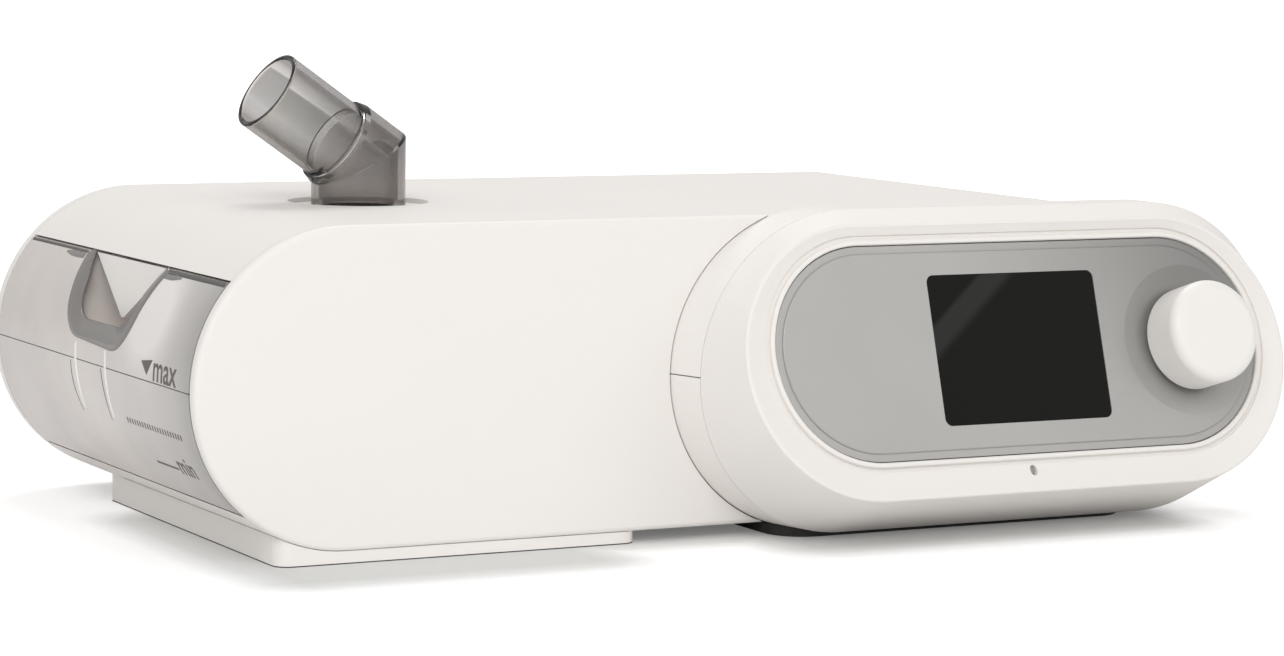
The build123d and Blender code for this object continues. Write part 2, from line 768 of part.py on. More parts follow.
def outlet_elbow():
    """Smoke-clear elbow that swivels in the housing and takes a 22 mm hose end."""
    bend = Vector(outlet_x, outlet_y, bend_z)
    along = elbow_direction()
    shoulder = recess_z + seam
    thick_end = elbow_shoulder - shoulder_taper
    elbow = mitred(elbow_outer_radius, elbow_outer_radius, shoulder, thick_end)
    taper = Cone(elbow_outer_radius, shoulder_radius, shoulder_taper, align=CENTRE_LOW)
    elbow += Plane(origin=bend + along * thick_end, z_dir=along) * taper
    elbow = elbow & corner_trim()
    elbow += rod(bend, along, tube_outer_radius, elbow_reach)
    elbow += upright(outlet_x, outlet_y, spigot_low, shoulder + 1, spigot_radius)
    bore = mitred(elbow_inner_radius, elbow_inner_radius, shoulder + 1.5, elbow_shoulder - 1.5)
    bore += rod(bend, along, tube_inner_radius, elbow_reach + 1)
    bore += upright(outlet_x, outlet_y, spigot_low - 1, bend_z, tube_inner_radius)
    low, high = groove_z - o_ring_radius, groove_z + o_ring_radius
    groove = upright(outlet_x, outlet_y, low, high, spigot_radius + 1)
    groove -= upright(outlet_x, outlet_y, low - 1, high + 1, spigot_radius - 2 * o_ring_radius)
    elbow = elbow - bore - groove
    mouth = [edge for edge in elbow.edges() if (edge.center() - bend).dot(along) > elbow_reach - 0.01]
    return fillet(mouth, mouth_round)


def elbow_o_ring():
    """Rubber ring in the elbow's groove."""
    ring = Torus(spigot_radius - o_ring_radius - 0.02, o_ring_radius - 0.02)
    return Pos(outlet_x, outlet_y, groove_z) * ring


# --- Blower -----------------------------------------------------------------------------
def volute_outline(inset):
    """A growing scroll round the blower's axis, drawn in by an inset, with its outlet duct."""
    steps = 12
    points = []
    for step in range(steps + 1):
        turn = 2 * pi * step / steps + pi / 2
        radius = volute_start + volute_growth * step / steps - inset
        points.append((-radius * cos(turn), radius * sin(turn)))
    scroll = make_face([Spline(*points), Line(points[-1], points[0])])
    duct_low, duct_high = volute_start + inset - 8.0, volute_start + volute_growth - inset
    reach = blower_x - blower_duct_end() + (inset * 2 if inset else 0)
    duct = Pos(-reach, duct_low) * Rectangle(reach, duct_high - duct_low, align=(Align.MIN, Align.MIN))
    return scroll + duct


def volute_block(inset, z_low, z_high):
    """The volute as a solid between two heights."""
    sheet = Plane(origin=(blower_x, blower_y, z_low))
    return extrude(sheet * volute_outline(inset), amount=z_high - z_low)


def blower_shell():
    """Both halves of the blower's scroll housing as one hollow moulding."""
    high = blower_z + volute_height
    shell = volute_block(0, blower_z, high)
    shell -= volute_block(volute_wall, blower_z + volute_wall, high - volute_wall)
    shell -= upright(blower_x, blower_y, high - volute_wall - 1, high + 1, blower_eye)
    return shell - upright(blower_x, blower_y, blower_z - 1, blower_z + volute_wall + 1, hub_radius + 1)


def blower_lower():
    """Lower half of the blower's scroll housing, with its mounting ears."""
    middle = blower_z + volute_height / 2
    shell = blower_shell() & block(0, body_length, 0, body_depth, 0, middle - seam / 2)
    for x, y in mount_spots():
        high = blower_z + mount_ear
        ear = upright(x, y, blower_z, high, mount_radius + 1)
        ear += block(min(x, blower_x), max(x, blower_x), y - mount_ear, y + mount_ear, blower_z, high)
        ear -= volute_block(volute_wall / 2, blower_z - 1, high + 1)
        ear -= upright(x, y, blower_z - 1, high + 1, mount_pin_radius + 0.1)
        shell += ear
    return shell


def blower_upper():
    """Upper half of the blower's scroll housing, with its round air inlet."""
    middle = blower_z + volute_height / 2
    return blower_shell() & block(0, body_length, 0, body_depth, middle + seam / 2, top_z)


def blower_motor():
    """Brushless motor under the scroll, with a bore for its shaft."""
    high = blower_z - seam
    case = upright(blower_x, blower_y, high - motor_height, high, motor_radius)
    case = chamfer(case.edges().filter_by(GeomType.CIRCLE), motor_edge)
    bore = upright(blower_x, blower_y, high - motor_height / 2, high + 1, motor_shaft_radius + running_gap)
    return case - bore


def motor_shaft():
    """Steel shaft of the blower, from inside the motor up into the impeller's hub."""
    low = blower_z - seam - motor_height / 2 + 0.3
    return upright(blower_x, blower_y, low, impeller_low() + impeller_height - 2, motor_shaft_radius)


def impeller_low():
    """Height of the impeller's back plate."""
    return blower_z + volute_wall + 2.0


def impeller():
    """Blower wheel: back plate, hub and backward-curved blades."""
    low = impeller_low()
    sheet = Plane(origin=(blower_x, blower_y, low))
    wheel = extrude(sheet * Circle(impeller_radius), amount=impeller_plate)
    wheel += extrude(sheet * Circle(hub_radius), amount=impeller_height - 1)
    start = Vector(hub_radius - 0.5, 0)
    middle = Vector(impeller_radius * 0.62, 0).rotate(Axis.Z, -16)
    end = Vector(impeller_radius - 0.6, 0).rotate(Axis.Z, -46)
    blade = trace(ThreePointArc(start, middle, end), line_width=blade_wall)
    blades = PolarLocations(0, blade_count) * extrude(blade, amount=impeller_height)
    wheel += [sheet.location * one for one in blades]
    high = low + impeller_height - 2
    return wheel - upright(blower_x, blower_y, low - 1, high, motor_shaft_radius + 0.01)


def mount_spots():
    """Places of the blower's three soft mounts."""
    front = (blower_x + mount_reach * 0.55, blower_y - mount_reach * 0.85)
    return [(blower_x + mount_reach, blower_y), (blower_x - mount_reach, blower_y - mount_radius), front]


def blower_mounts():
    """Soft mounts that carry the blower on the housing's posts."""
    mounts = []
    for x, y in mount_spots():
        body = upright(x, y, blower_z - mount_height - seam, blower_z - 0.1, mount_radius)
        cap_low = blower_z + mount_ear + 0.1
        stem = upright(x, y, blower_z - 0.1, cap_low, mount_pin_radius)
        cap = upright(x, y, cap_low, cap_low + mount_cap, mount_pin_radius + 1)
        mounts.append(body + stem + cap)
    return group(mounts)


# --- Back of the machine ----------------------------------------------------------------
def filter_cover():
    """Slotted cover that closes the filter tray, flush with the back."""
    wide, tall = filter_width - 2 * cover_gap, filter_tall - 2 * cover_gap
    face = body_depth - cover_sink
    inner = face - cover_depth
    cover = rear_box(wide, tall, inner, face)
    cover -= rear_box(wide - 2 * tray_wall, tall - 2 * tray_wall, inner - 1, face - grille_wall)
    pitch = (wide - 2 * filter_corner) / grille_bars
    for bar in range(grille_bars):
        x = filter_x + (bar - (grille_bars - 1) / 2) * pitch
        sheet = front_sheet(x, face + 1, table_gap + filter_height)
        slot = SlotOverall(tall - 2 * grille_edge, grille_slot, rotation=90)
        cover -= extrude(sheet * slot, amount=cover_depth + 2)
    return cover


def air_filter():
    """Foam filter pad in the tray."""
    front = body_depth - filter_depth + 0.1
    return rear_box(filter_width - 0.6, filter_tall - 0.6, front, front + filter_foam)


def power_socket():
    """Round low-voltage socket with four contact holes at its bottom."""
    z = table_gap + socket_height
    body = rod((socket_x, body_depth - 0.2, z), (0, -1, 0), socket_radius, socket_length)
    inner = body_depth - rear_wall - 0.3
    body += rod((socket_x, inner, z), (0, -1, 0), socket_radius + socket_flange, socket_flange_wall)
    body -= rod((socket_x, body_depth, z), (0, -1, 0), socket_bore, socket_bore_depth + 0.2)
    for x in (-contact_pitch / 2, contact_pitch / 2):
        for rise in (-contact_pitch / 2, contact_pitch / 2):
            start = (socket_x + x, body_depth - socket_bore_depth, z + rise)
            body -= rod(start, (0, -1, 0), contact_radius, contact_depth)
    return body


def board_spots():
    """Places of the main board's posts."""
    xs = (main_left + main_hole_inset, main_right - main_hole_inset)
    return [(x, y) for x in xs for y in (main_front + main_hole_inset, main_back - main_hole_inset)]


def main_board():
    """Main circuit board with its capacitors, coil and connectors."""
    low = floor_z + main_lift + 0.05
    top = low + board_wall
    middle = (main_front + main_back) / 2
    board = block(main_left, main_right, main_front, main_back, low, top)
    for step in (-1, 0):
        y = middle + step * 3 * capacitor_radius
        board += upright(main_right - capacitor_end, y, top, top + capacitor_height, capacitor_radius)
    parts = (
        (chip_size, chip_size, chip_height, main_front + chip_size),
        (plug_width, plug_length, plug_height, middle - plug_length / 2),
        (coil_width, coil_length, coil_height, main_back - 2 * coil_length),
    )
    for wide, long, tall, y in parts:
        x = main_left + main_hole_inset
        board += block(x, x + wide, y, y + long, top, top + tall)
    return board - [upright(x, y, low - 1, top + 1, main_hole_radius) for x, y in board_spots()]


def board_screws():
    """Four screws that hold the main board."""
    screws = []
    top = floor_z + main_lift + 0.05 + board_wall + 0.05
    for x, y in board_spots():
        head = upright(x, y, top, top + board_wall, main_screw_head)
        screws.append(head + upright(x, y, floor_z + 1, top, main_screw_radius))
    return group(screws)


# --- Control pod ------------------------------------------------------------------------
def bezel_block(inset, front_depth):
    """The pod's body between the collar's front and the ridge, drawn in by an inset."""
    rear = collar_outline(-collar_depth - seam, collar_draft, inset)
    return loft([rear, ridge_outline(inset, front_depth)], ruled=True)


def panel_outline(grow):
    """The stadium of the panel, grown by a distance."""
    return SlotOverall(panel_width + 2 * grow, panel_height + 2 * grow)


def face_bead():
    """Raised line with rounded edges that runs round the panel."""
    ring = panel_outline(seam + bead_width) - panel_outline(seam)
    low = -groove_depth - 0.2
    bead = on_face(ring, low, -bead_drop - low)
    return fillet([edge for edge in bead.edges() if height_on_face(edge) > -bead_drop - 0.01], bead_round)


def front_bezel():
    """White bezel: a ring that tapers to a tilted ridge, with a bevel, a groove and a bead."""
    ring = bezel_block(0, 0)
    ridge_edges = [edge for edge in ring.edges() if abs(height_on_face(edge)) < 0.01]
    ring = fillet(ridge_edges, ridge_round)
    groove = panel_outline(seam + bead_width + groove_width)
    ring -= loft([ridge_outline(ridge_band, 0), face_sheet(-bevel_depth) * groove], ruled=True)
    ring -= on_face(groove, -groove_depth, groove_depth)
    ring -= on_face(panel_outline(seam), -panel_sink - panel_wall - seam, panel_wall + panel_sink + seam)
    hollow = bezel_block(bezel_wall, -panel_sink - panel_wall - seam - bezel_wall)
    ring = ring - on_face(panel_outline(-panel_ledge), -past, 2 * past) - hollow
    ring += face_bead()
    lip = collar_outline(-collar_depth + bezel_lip, collar_draft, collar_wall + seam)
    lip = extrude(lip, amount=bezel_lip + 2)
    lip -= extrude(collar_outline(0, collar_draft, collar_wall + seam + lip_wall), amount=collar_depth + 5)
    ring += lip
    hole = SlotOverall(sensor_height, sensor_width, rotation=90)
    return ring - on_face(hole, -past, 2 * past, sensor_shift, -sensor_drop)


def height_on_face(edge):
    """How far an edge's middle stands over the ridge's plane."""
    plane = face_sheet()
    return (edge.center() - plane.origin).dot(plane.z_dir)


def light_sensor_lens():
    """Small oval light window in the bezel's lower rim."""
    pill = SlotOverall(sensor_height - 0.1, sensor_width - 0.1, rotation=90)
    return on_face(pill, -panel_sink - 1.2 - sensor_depth, sensor_depth, sensor_shift, -sensor_drop)


def control_panel():
    """Grey panel with a lowered border, the display's opening, the knob's dish and four posts."""
    front = -panel_sink
    field = on_face(panel_outline(-panel_step_width), front - panel_wall, panel_wall)
    field = fillet([edge for edge in field.edges() if height_on_face(edge) > front - 0.01], panel_step_round)
    plate = field + on_face(panel_outline(0), front - panel_wall, panel_wall - panel_step)
    boss = (Pos(knob_shift, 0) * Circle(dish_radius + 1.5)) & panel_outline(-panel_ledge - seam)
    plate += on_face(boss, front - panel_wall - dish_wall, dish_wall)
    for x, y in post_spots():
        plate += on_face(Circle(post_radius), -board_depth + 0.1, board_depth - 0.1 + front - 1, x, y)
    opening = RectangleRounded(display_width, display_height, display_corner)
    plate -= on_face(opening, front - 8, 12, display_shift)
    plate -= dish_tool(front)
    return plate - on_face(Circle(encoder_bush_radius + 0.3), front - 12, 20, knob_shift)


def dish_tool(front):
    """Ball that hollows the dish round the knob."""
    ball = (dish_radius**2 + dish_depth**2) / (2 * dish_depth)
    centre = face_sheet(front - dish_depth + ball) * Pos(knob_shift, 0)
    return centre * Sphere(ball)


def post_spots():
    """Places of the control board's posts on the panel."""
    left = post_end - panel_width / 2
    right = panel_width / 2 - post_right_end
    high = board_height / 2 - post_edge
    return [(left, -high), (left, high), (knob_shift - dish_radius, -high), (right, 0.0)]


def display_window():
    """Black display glass, flush with the panel."""
    glass = RectangleRounded(display_width - 0.3, display_height - 0.3, display_corner - 0.1)
    return on_face(glass, -panel_sink - window_wall - 0.1, window_wall, display_shift)


def lcd_module():
    """Display module behind the glass."""
    frame = RectangleRounded(display_width + lcd_border, display_height + lcd_border, 1.0)
    back = -panel_sink - panel_wall - 0.1 - lcd_thickness
    module = on_face(frame, back, lcd_thickness, display_shift)
    glass = RectangleRounded(display_width - 1, display_height - 1, display_corner)
    high = -panel_sink - window_wall - 0.2
    return module + on_face(glass, back + 1, high - back - 1, display_shift)


def control_board():
    """Circuit board behind the panel."""
    plate = RectangleRounded(board_width, board_height, 4.0)
    return on_face(plate, -board_depth - board_wall, board_wall, board_shift)


def encoder_body():
    """Rotary encoder with a threaded bush, hollow for its shaft and plunger."""
    square = RectangleRounded(encoder_size, encoder_size, 1.0)
    case = on_face(square, -board_depth + 0.05, encoder_height, knob_shift)
    case += on_face(
        Circle(encoder_bush_radius), -board_depth + encoder_height, encoder_bush_length, knob_shift
    )
    case -= on_face(Circle(plunger_radius + 0.3), -board_depth + 1, encoder_height - 2.6, knob_shift)
    return case - on_face(Circle(shaft_radius + running_gap), -board_depth + 3, 30, knob_shift)


def encoder_plunger():
    """Push switch's plunger under the encoder shaft."""
    low = -board_depth + 1 + knob_travel + 0.3
    return on_face(Circle(plunger_radius), low, plunger_height, knob_shift)


def encoder_shaft():
    """Encoder shaft, from the plunger up into the knob."""
    low = -board_depth + 1 + knob_travel + 0.3 + plunger_height + 0.05
    high = knob_base + knob_height - 2 * knob_wall
    return on_face(Circle(shaft_radius), low, high - low, knob_shift)


def control_knob():
    """White push-and-turn knob with a rounded front and a socket for the shaft."""
    radius = knob_diameter / 2
    knob = on_face(Circle(radius), knob_base, knob_height, knob_shift)
    plane = face_sheet(knob_base + knob_height)
    front = [edge for edge in knob.edges() if abs((edge.center() - plane.origin).dot(plane.z_dir)) < 0.01]
    knob = fillet(front, knob_round)
    knob -= on_face(Circle(radius - knob_wall), knob_base - 1, knob_height - knob_wall + 1, knob_shift)
    knob += on_face(Circle(shaft_radius + 2.4), knob_base + 1, knob_height - knob_wall, knob_shift)
    knob &= on_face(Circle(radius + 1), knob_base - 1, knob_height + 1, knob_shift)
    socket = Circle(shaft_radius + 0.02)
    return knob - on_face(socket, knob_base - 1, knob_height - 2 * knob_wall + 1.05, knob_shift)


# --- Assembly ---------------------------------------------------------------------------
makers = [
    upper_housing, lower_housing, front_fascia, rear_cover, housing_screws,
    humidifier_base, rubber_feet, pod_foot, humidifier_bay, heater_plate, heater_insulator,
    water_tub, tank_base_plate, tank_gasket, tank_lid, latch_pin, latch_tab,
    outlet_seal, inlet_seal, outlet_elbow, elbow_o_ring,
    blower_lower, blower_upper, blower_motor, motor_shaft, impeller, blower_mounts,
    filter_cover, air_filter, power_socket, main_board, board_screws,
    front_bezel, light_sensor_lens, control_panel, display_window, lcd_module,
    control_board, encoder_body, encoder_plunger, encoder_shaft, control_knob,
]


def knob_front_y():
    """Depth of the foremost point of the knob's rounded edge."""
    out = knob_base + knob_height - knob_round
    wide = knob_diameter / 2 - knob_round
    return face_y - out * cos(face_lean) - wide * sin(face_lean) - knob_round


to_origin = Pos(-collar_right / 2, -(knob_front_y() + body_depth) / 2, 0)

os.makedirs("parts", exist_ok=True)
for maker in makers:
    export_step(to_origin * maker(), f"parts/{maker.__name__}.step")
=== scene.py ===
import json
from math import ceil, cos, degrees, radians, sin, tan

import bmesh
import bpy
from mathutils import Euler, Matrix, Vector


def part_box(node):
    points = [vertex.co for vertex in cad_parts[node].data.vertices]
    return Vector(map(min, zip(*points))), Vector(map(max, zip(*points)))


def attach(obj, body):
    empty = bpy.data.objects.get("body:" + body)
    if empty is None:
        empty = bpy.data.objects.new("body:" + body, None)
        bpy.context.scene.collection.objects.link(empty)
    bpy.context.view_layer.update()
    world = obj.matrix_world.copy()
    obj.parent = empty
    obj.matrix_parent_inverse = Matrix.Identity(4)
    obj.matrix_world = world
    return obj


# A bedside breathing machine: looks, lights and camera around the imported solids.
# Blender's units are metres. MM turns a size in millimetres into metres.

MM = 0.001
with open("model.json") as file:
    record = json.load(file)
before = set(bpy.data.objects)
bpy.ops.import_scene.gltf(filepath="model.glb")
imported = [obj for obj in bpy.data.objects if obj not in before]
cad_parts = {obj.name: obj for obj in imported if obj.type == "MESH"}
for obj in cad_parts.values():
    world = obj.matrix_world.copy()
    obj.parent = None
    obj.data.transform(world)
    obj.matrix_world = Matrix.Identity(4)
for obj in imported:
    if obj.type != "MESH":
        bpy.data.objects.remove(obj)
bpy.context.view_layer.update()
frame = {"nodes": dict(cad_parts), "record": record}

# --- Sizes read from the frame ----------------------------------------------------------
BEND_TO_OUTLET = 20.55 * MM       # from the elbow's bend to the middle of its tube

fascia_low, fascia_high = (Vector(corner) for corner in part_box("front_fascia"))
body_radius = (fascia_high.z - fascia_low.z) / 2
axis_z = (fascia_high.z + fascia_low.z) / 2
axis_x = fascia_low.x + body_radius
tank_front, tank_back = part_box("water_tub")[0][1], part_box("water_tub")[1][1]
tank_length = (tank_back - tank_front) / MM   # in mm, as the points of a band are
tank_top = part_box("tank_lid")[1][2]
hose_outlet = frame["record"]["mounts"][0]
hose_axis = Vector(hose_outlet["axis"])
elbow_bend = Vector(hose_outlet["pos_m"]) - BEND_TO_OUTLET * hose_axis

# --- Camera -----------------------------------------------------------------------------
CAMERA_PLACE = (-0.46955, -0.87362, 0.1530)
CAMERA_YAW = 27.97                # to the right of straight ahead, in degrees
CAMERA_PITCH = 6.023              # downwards
CAMERA_ROLL = 0.870
CAMERA_LENS = 104.16              # for a sensor of the width below, both in mm
CAMERA_SENSOR = 36.0
CAMERA_NEAR, CAMERA_FAR = 0.05, 30.0

# --- Light and stage --------------------------------------------------------------------
WORLD_LIGHT = 0.55                # the surround's strength as a light; the camera sees it at 1
LAMP_TARGET = (0.0, 0.0, 0.05)
LAMPS = [                         # name, place, width, height and power in watts
    ("key", (-0.95, -1.45, 1.25), 1.1, 1.1, 15.5),
    ("fill", (0.9, -1.6, 0.9), 1.2, 1.0, 3.6),
    ("top", (0.30, 0.75, 1.45), 0.8, 0.8, 7.8),
]
WHITE = (1.0, 1.0, 1.0, 1.0)
FLOOR_SIZE = 26.0
FLOOR_COLOR = (0.93, 0.93, 0.93)
# the colour of the painted shadows on the floor
FLOOR_PAINTED_SHADOW_COLOR = (0.60, 0.60, 0.585)
FLOOR_GLOW = 0.30                 # what the camera sees of the floor beyond the light on it
FLOOR_GLOW_FAR = 0.80
FLOOR_GLOW_REACH = 1.2            # from the middle to where the glow is at its far value
SHADE_GLOW = 0.45                 # share of the glow that is left in a painted shadow
SHADE_BLUR = 9.0 * MM
FLOOR_PAINTED_SHADOWS = [                        # soft painted shadows on the floor, from one corner to the other, in mm
    ((-143.0, -81.0), (-45.0, 40.0)),
    ((-119.0, -60.0), (98.0, 60.0)),
    ((-4.0, -85.0), (119.0, -40.0)),
]

# --- Colours, as linear values ----------------------------------------------------------
SHELL_WHITE = (0.875, 0.845, 0.810)
SHELL_WHITE_WARM = (0.862, 0.830, 0.795)
KNOB_WHITE = (0.885, 0.862, 0.832)
PANEL_GREY = (0.425, 0.415, 0.396)
# the grey of the painted shade on the panel
PANEL_PAINTED_SHADE = (0.200, 0.195, 0.187)
DISPLAY_BLACK = (0.007, 0.007, 0.006)
# the lighter black of a painted reflection on the display
DISPLAY_PAINTED_GLARE = (0.026, 0.027, 0.025)
TANK_CLEAR = (0.890, 0.824, 0.780)
# grey for the tank's clouds and for the painted shade towards its front
TANK_SHADE_AND_CLOUD_GREY = (0.510, 0.490, 0.466)
TANK_MILKY = (0.985, 0.950, 0.925)
SMOKE_DEEP = (0.50, 0.475, 0.46)
SMOKE_EDGE = (0.200, 0.182, 0.175)
# greys of the pocket's lip, a painted shade for the dark of the tank's clear rolled edge
RIM_SHADE_GREY = (0.215, 0.200, 0.190)
LIP_SHADE_GREY = (0.275, 0.260, 0.250)
RIB_WHITE = (0.960, 0.930, 0.905)
# grey for the seams, the lines beside the ribs and the painted shade under the window's upper edge
SEAM_AND_SHADE_GREY = (0.110, 0.105, 0.100)
MARK_GREY = (0.130, 0.105, 0.100)

# --- Tones that change across a piece, painted reflection and shade among them ----------
PAINTED_GLARE_WAY = (0.637, -0.227, -0.737)        # across the display's painted reflection, from its upper left corner
PAINTED_GLARE_TONES = [                            # distance along that way and colour
    (0.0, DISPLAY_BLACK),
    (9.6 * MM, DISPLAY_BLACK),
    (11.4 * MM, DISPLAY_PAINTED_GLARE),
    (15.0 * MM, DISPLAY_PAINTED_GLARE),
    (18.2 * MM, DISPLAY_BLACK),
    (60.0 * MM, DISPLAY_BLACK),
]
TANK_SHADE_TONES = [                             # depth from the tank's front and colour; the grey towards the front is painted shade
    (0.0, TANK_SHADE_AND_CLOUD_GREY),
    (12.0 * MM, (0.670, 0.641, 0.610)),
    (34.0 * MM, (0.790, 0.750, 0.714)),
    (75.0 * MM, TANK_CLEAR),
    (tank_back - tank_front, (0.810, 0.755, 0.716)),
]
SMOKE_TONES = [                            # distance along the elbow's tube from its bend and colour
    (-16.0 * MM, SMOKE_DEEP),
    (-6.0 * MM, (0.45, 0.425, 0.41)),
    (4.0 * MM, SMOKE_DEEP),
    (9.0 * MM, (0.62, 0.605, 0.59)),
    (20.0 * MM, (0.72, 0.715, 0.70)),
    (34.0 * MM, (0.80, 0.765, 0.74)),
]
MILKY_PATCH = (34.0 * MM, 67.0)            # depth from the tank's front, and degrees from its top
MILKY_PATCH_SIZE = (0.026, 0.026, 0.022)
CORNER_SHADE_SIZE = (0.115, 0.150, 0.075)  # painted shade round the panel's upper right corner
# size of the painted shadow under the knob
KNOB_SHADE_SIZE = (0.024, 0.060, 0.020)
KNOB_SHADE_RISE = 4.0 * MM                 # the painted shadow's middle, above the knob's lowest point

# --- Surfaces ---------------------------------------------------------------------------
PLASTIC_UNEVEN = 0.04             # how far the roughness wanders to either side
METAL_UNEVEN = 0.08
METAL_LINE_TONE = 0.86            # a metal's drawn lines, as a share of its colour
METAL_LINE_STRETCH = 14.0         # the lines are this much finer upwards than sideways
FOAM_PORE_TONE = 0.35             # a foam's pores, as a share of its colour
PLASTIC_IOR = 1.46

# --- Trim on the tank -------------------------------------------------------------------
BAND_THICKNESS = 0.08 * MM
BAND_COLUMN = 1.2                 # a band is divided so that no column is wider, in mm
WRAP_SINK = 0.05 * MM             # how deep flat marks sit in the wall they are wrapped on
WRAP_ROW = 0.7 * MM
WRAP_ROWS = 15
LETTER_WEIGHT = 0.12 * MM         # makes the lettering bolder
MAX_WORD_SIZE = 9.4 * MM
MIN_WORD_SIZE = 8.0 * MM
TICKS = 22                        # how many
TICK_PITCH = 1.76 * MM
TICK_WIDTH = 0.8 * MM
TICK_HEIGHT = 1.5 * MM
LOW_LINE_LENGTH = 15.2 * MM
LOW_LINE_HEIGHT = 0.7 * MM

POCKET_MIDDLE = 68.1 * MM         # from the tank's front
POCKET_TOP = 69.82 * MM           # the window's upper edge, above the table
POCKET_TALL = 20.6 * MM
POCKET_HALF_TOP = 28.5 * MM
POCKET_HALF_LOW = 20.5 * MM
POCKET_CORNER = 14.0 * MM
POCKET_TRIM = 0.3 * MM            # the lip starts this far inside the pocket's upper corner
LIP_WIDTH = 4.0 * MM
LIP_LIFT = 0.06 * MM              # how far its rim stands above the wall
LIP_DIP = 1.0 * MM                # how deep its inner edge lies
LIP_UNDERSIDE = (1.8 * MM, 1.5 * MM, 1.0 * MM)   # depths at its inner, middle and outer edge
LIP_TAPER_SHARE = 0.45            # share of its size at the tank's top
LIP_TAPER = 14.0 * MM             # going down this far adds one whole size, up to the full one
LIP_FLANGE_FRONT = 2.2 * MM       # how far the lip lies on the wall beyond the pocket's edge
LIP_FLANGE_BACK = 1.1 * MM
LIP_FLANGE_SHARE = 0.2            # share of the flange that is left at the pocket's middle

# --- Pad under the pedestal -------------------------------------------------------------
PAD_WIDTH = 2.4 * MM
PAD_CORNER = 4.0 * MM
PAD_INNER_CORNER = 0.5 * MM
PAD_LIFT = 0.02 * MM              # above the table
PAD_STEPS = 8                     # to a corner


# --- Node helpers -----------------------------------------------------------------------
# The owner of a node is the material or the world that it is made in.
def new_material(name):
    """A material with its Principled shader, and a point coordinate in metres."""
    material = bpy.data.materials.new(name)
    material.use_nodes = True
    nodes = material.node_tree.nodes
    shader = nodes["Principled BSDF"]
    place = nodes.new("ShaderNodeTexCoord")
    return material, shader, place.outputs["Object"]


def add_node(owner, kind, **sockets):
    """A node of a kind with its input sockets set by name."""
    node = owner.node_tree.nodes.new(kind)
    for name, value in sockets.items():
        node.inputs[name.replace("_", " ")].default_value = value
    return node


def feed(owner, socket, value):
    """Links an output to a socket, or sets the socket to a plain value."""
    if hasattr(value, "is_linked"):
        owner.node_tree.links.new(value, socket)
    else:
        socket.default_value = value


def noise(owner, place, scale, detail=2.0, roughness=0.5):
    """Noise with a number of waves per metre."""
    node = add_node(owner, "ShaderNodeTexNoise", Scale=scale, Detail=detail, Roughness=roughness)
    feed(owner, node.inputs["Vector"], place)
    return node.outputs["Fac"]


def spread(owner, factor, low, high, start=0.3, end=0.7):
    """Maps a factor between start and end onto the range from low to high."""
    node = add_node(
        owner, "ShaderNodeMapRange", From_Min=start, From_Max=end, To_Min=low, To_Max=high
    )
    feed(owner, node.inputs["Value"], factor)
    return node.outputs["Result"]


def two_tone(owner, factor, first, second):
    """Blends two colours by a factor: each is a colour or another node's colour output."""
    node = add_node(owner, "ShaderNodeMix")
    node.data_type = "RGBA"
    feed(owner, node.inputs["Factor"], factor)
    for socket, color in ((node.inputs["A"], first), (node.inputs["B"], second)):
        feed(owner, socket, (*color, 1.0) if isinstance(color, tuple) else color)
    return node.outputs["Result"]


def combine(owner, operation, first, second):
    """One number from two by a plain operation."""
    node = add_node(owner, "ShaderNodeMath")
    node.operation = operation
    feed(owner, node.inputs[0], first)
    feed(owner, node.inputs[1], second)
    return node.outputs["Value"]


def vector_math(owner, operation, first, second):
    """The node that works on two vectors."""
    node = add_node(owner, "ShaderNodeVectorMath")
    node.operation = operation
    feed(owner, node.inputs[0], first)
    feed(owner, node.inputs[1], second)
    return node


def along(owner, place, origin, direction):
    """Distance in metres along a direction from an origin."""
    offset = vector_math(owner, "SUBTRACT", place, tuple(origin)).outputs["Vector"]
    return vector_math(owner, "DOT_PRODUCT", offset, tuple(direction)).outputs["Value"]


def ramp(owner, value, stops):
    """A colour from a list of (value, colour) stops, eased between them."""
    first, last = stops[0][0], stops[-1][0]
    node = add_node(owner, "ShaderNodeValToRGB")
    node.color_ramp.interpolation = "EASE"
    elements = node.color_ramp.elements
    while len(elements) < len(stops):
        elements.new(0.5)
    for element, (at, color) in zip(elements, stops):
        element.position = (at - first) / (last - first)
        element.color = (*color, 1.0)
    feed(owner, node.inputs["Fac"], spread(owner, value, 0.0, 1.0, first, last))
    return node.outputs["Color"]


def soft_box(owner, place, low, high, blur):
    """1 inside a rectangle on the floor, falling softly to 0 across its edges."""
    parts = add_node(owner, "ShaderNodeSeparateXYZ")
    feed(owner, parts.inputs["Vector"], place)
    inside = 1.0
    for axis in (0, 1):
        for edge, inwards in ((low[axis], blur), (high[axis], -blur)):
            side = spread(owner, parts.outputs[axis], 0.0, 1.0, edge - inwards, edge + inwards)
            inside = combine(owner, "MULTIPLY", inside, side)
    return inside


def spot(owner, place, centre, size):
    """1 at a centre, falling softly to 0 at a distance given for each axis."""
    mapping = add_node(owner, "ShaderNodeMapping", Location=tuple(centre), Scale=tuple(size))
    mapping.vector_type = "TEXTURE"
    ball = add_node(owner, "ShaderNodeTexGradient")
    ball.gradient_type = "QUADRATIC_SPHERE"
    feed(owner, mapping.inputs["Vector"], place)
    feed(owner, ball.inputs["Vector"], mapping.outputs["Vector"])
    return ball.outputs["Fac"]


def bump(owner, shader, factor, depth):
    """Raises the surface by a factor times a depth in metres."""
    node = add_node(owner, "ShaderNodeBump", Strength=1.0, Distance=depth)
    feed(owner, node.inputs["Height"], factor)
    feed(owner, shader.inputs["Normal"], node.outputs["Normal"])


def fine_grain(owner, shader, place, scale, depth):
    """A fine grain with a number of waves per metre and a depth in metres."""
    bump(owner, shader, noise(owner, place, scale, detail=3.0), depth)


def uneven_gloss(owner, shader, place, low, high, scale=60.0, detail=4.0, roughness=0.5):
    """A roughness that wanders between two values."""
    cloud = noise(owner, place, scale, detail, roughness)
    feed(owner, shader.inputs["Roughness"], spread(owner, cloud, low, high))


